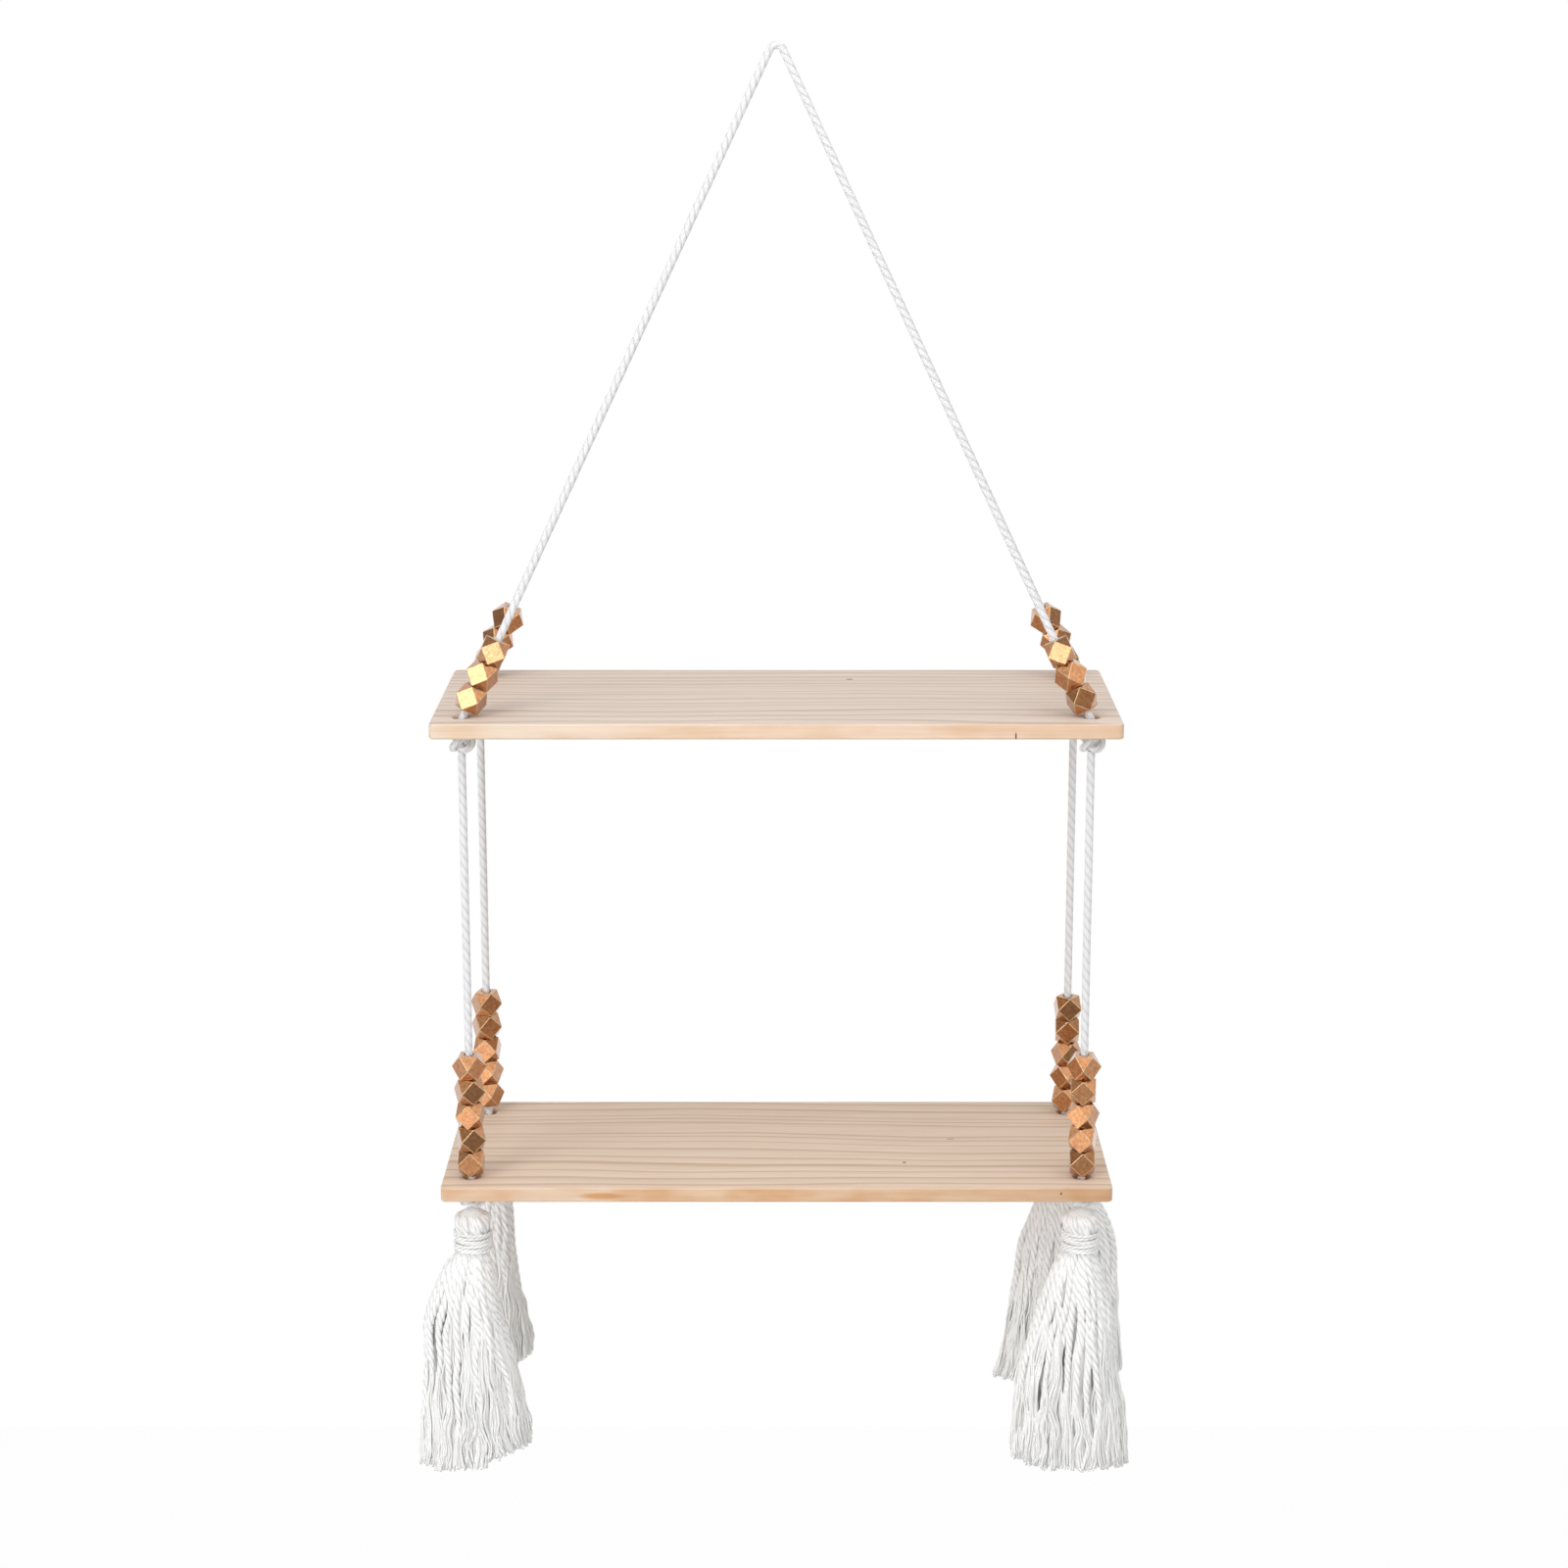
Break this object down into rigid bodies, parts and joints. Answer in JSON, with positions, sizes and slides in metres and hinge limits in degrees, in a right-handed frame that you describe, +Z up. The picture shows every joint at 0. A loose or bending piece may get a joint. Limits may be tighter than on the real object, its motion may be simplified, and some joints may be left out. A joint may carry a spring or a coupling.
{
  "type": "hanging rope shelf",
  "caption": "Two-tier hanging shelf: wooden boards on cotton cords over a single nail, with faceted beads threaded above the boards and bound tassels below.",
  "frame": {"origin": "the point where the two cords hang over their nail", "axes": "+X along the boards to the right as seen from the front, +Y to the wall, +Z up"},
  "size_m": [0.441, 0.156, 0.8462],
  "materials": {
    "pine": "pale planed pine, satin clear wax",
    "cotton_cord": "natural twisted cotton, matte",
    "copper_paint": "turned wood with metallic copper-gold paint"
  },
  "bodies": {
    "upper_tier": {"upper_board": "pine", "front_cord": "cotton_cord", "rear_cord": "cotton_cord", "knot_front_left": "cotton_cord", "knot_front_right": "cotton_cord", "knot_rear_left": "cotton_cord", "knot_rear_right": "cotton_cord"},
    "upper_beads_front_left": {"upper_bead_front_left_1": "copper_paint", "upper_bead_front_left_2": "copper_paint", "upper_bead_front_left_3": "copper_paint"},
    "upper_beads_front_right": {"upper_bead_front_right_1": "copper_paint", "upper_bead_front_right_2": "copper_paint", "upper_bead_front_right_3": "copper_paint"},
    "upper_beads_rear_left": {"upper_bead_rear_left_1": "copper_paint", "upper_bead_rear_left_2": "copper_paint", "upper_bead_rear_left_3": "copper_paint"},
    "upper_beads_rear_right": {"upper_bead_rear_right_1": "copper_paint", "upper_bead_rear_right_2": "copper_paint", "upper_bead_rear_right_3": "copper_paint"},
    "hanging_cord_front_left": {"lower_cord_front_left": "cotton_cord"},
    "hanging_cord_front_right": {"lower_cord_front_right": "cotton_cord"},
    "hanging_cord_rear_left": {"lower_cord_rear_left": "cotton_cord"},
    "hanging_cord_rear_right": {"lower_cord_rear_right": "cotton_cord"},
    "lower_beads_front_left": {"lower_bead_front_left_1": "copper_paint", "lower_bead_front_left_2": "copper_paint", "lower_bead_front_left_3": "copper_paint", "lower_bead_front_left_4": "copper_paint", "lower_bead_front_left_5": "copper_paint"},
    "lower_beads_front_right": {"lower_bead_front_right_1": "copper_paint", "lower_bead_front_right_2": "copper_paint", "lower_bead_front_right_3": "copper_paint", "lower_bead_front_right_4": "copper_paint", "lower_bead_front_right_5": "copper_paint"},
    "lower_beads_rear_left": {"lower_bead_rear_left_1": "copper_paint", "lower_bead_rear_left_2": "copper_paint", "lower_bead_rear_left_3": "copper_paint", "lower_bead_rear_left_4": "copper_paint", "lower_bead_rear_left_5": "copper_paint"},
    "lower_beads_rear_right": {"lower_bead_rear_right_1": "copper_paint", "lower_bead_rear_right_2": "copper_paint", "lower_bead_rear_right_3": "copper_paint", "lower_bead_rear_right_4": "copper_paint", "lower_bead_rear_right_5": "copper_paint"},
    "lower_tier": {"lower_board": "pine", "stop_knot_front_left": "cotton_cord", "stop_knot_front_right": "cotton_cord", "stop_knot_rear_left": "cotton_cord", "stop_knot_rear_right": "cotton_cord"},
    "bound_tassel_front_left": {"tassel_front_left": "cotton_cord", "tassel_wrap_front_left": "cotton_cord"},
    "bound_tassel_front_right": {"tassel_front_right": "cotton_cord", "tassel_wrap_front_right": "cotton_cord"},
    "bound_tassel_rear_left": {"tassel_rear_left": "cotton_cord", "tassel_wrap_rear_left": "cotton_cord"},
    "bound_tassel_rear_right": {"tassel_rear_right": "cotton_cord", "tassel_wrap_rear_right": "cotton_cord"}
  },
  "joints": [
    {"name": "lower_tier_sway", "type": "hinge", "parent": "upper_tier", "child": "hanging_cord_front_left", "pos_m": [-0.183, -0.056, -0.39811], "axis": [0, 1, 0], "range_deg": [-8, 8]},
    {"name": "cord_sway_front_right", "type": "hinge", "parent": "upper_tier", "child": "hanging_cord_front_right", "pos_m": [0.183, -0.056, -0.39811], "axis": [0, 1, 0], "range_deg": [-8, 8]},
    {"name": "cord_sway_rear_left", "type": "hinge", "parent": "upper_tier", "child": "hanging_cord_rear_left", "pos_m": [-0.183, 0.056, -0.39811], "axis": [0, 1, 0], "range_deg": [-8, 8]},
    {"name": "cord_sway_rear_right", "type": "hinge", "parent": "upper_tier", "child": "hanging_cord_rear_right", "pos_m": [0.183, 0.056, -0.39811], "axis": [0, 1, 0], "range_deg": [-8, 8]},
    {"name": "lower_board_level", "type": "hinge", "parent": "hanging_cord_front_left", "child": "lower_tier", "pos_m": [-0.183, -0.056, -0.6655], "axis": [0, 1, 0], "range_deg": [-8, 8]},
    {"name": "upper_beads_lift_front_left", "type": "slide", "parent": "upper_tier", "child": "upper_beads_front_left", "axis": [0.4227, 0.1265, 0.8974], "range_m": [0, 0.3]},
    {"name": "upper_beads_lift_front_right", "type": "slide", "parent": "upper_tier", "child": "upper_beads_front_right", "axis": [-0.4227, 0.1265, 0.8974], "range_m": [0, 0.3]},
    {"name": "upper_beads_lift_rear_left", "type": "slide", "parent": "upper_tier", "child": "upper_beads_rear_left", "axis": [0.4227, -0.1265, 0.8974], "range_m": [0, 0.3]},
    {"name": "upper_beads_lift_rear_right", "type": "slide", "parent": "upper_tier", "child": "upper_beads_rear_right", "axis": [-0.4227, -0.1265, 0.8974], "range_m": [0, 0.3]},
    {"name": "lower_beads_lift_front_left", "type": "slide", "parent": "hanging_cord_front_left", "child": "lower_beads_front_left", "axis": [0, 0, 1], "range_m": [0, 0.18]},
    {"name": "lower_beads_lift_front_right", "type": "slide", "parent": "hanging_cord_front_right", "child": "lower_beads_front_right", "axis": [0, 0, 1], "range_m": [0, 0.18]},
    {"name": "lower_beads_lift_rear_left", "type": "slide", "parent": "hanging_cord_rear_left", "child": "lower_beads_rear_left", "axis": [0, 0, 1], "range_m": [0, 0.18]},
    {"name": "lower_beads_lift_rear_right", "type": "slide", "parent": "hanging_cord_rear_right", "child": "lower_beads_rear_right", "axis": [0, 0, 1], "range_m": [0, 0.18]},
    {"name": "tassel_swing_front_left", "type": "hinge", "parent": "lower_tier", "child": "bound_tassel_front_left", "pos_m": [-0.183, -0.056, -0.67865], "axis": [0, 1, 0], "range_deg": [-25, 25]},
    {"name": "tassel_swing_front_right", "type": "hinge", "parent": "lower_tier", "child": "bound_tassel_front_right", "pos_m": [0.183, -0.056, -0.67865], "axis": [0, 1, 0], "range_deg": [-25, 25]},
    {"name": "tassel_swing_rear_left", "type": "hinge", "parent": "lower_tier", "child": "bound_tassel_rear_left", "pos_m": [-0.183, 0.056, -0.67865], "axis": [0, 1, 0], "range_deg": [-25, 25]},
    {"name": "tassel_swing_rear_right", "type": "hinge", "parent": "lower_tier", "child": "bound_tassel_rear_right", "pos_m": [0.183, 0.056, -0.67865], "axis": [0, 1, 0], "range_deg": [-25, 25]}
  ],
  "couplings": [
    {"joint": "cord_sway_front_right", "follows": "lower_tier_sway", "ratio": 1},
    {"joint": "cord_sway_rear_left", "follows": "lower_tier_sway", "ratio": 1},
    {"joint": "cord_sway_rear_right", "follows": "lower_tier_sway", "ratio": 1},
    {"joint": "lower_board_level", "follows": "lower_tier_sway", "ratio": -1}
  ]
}
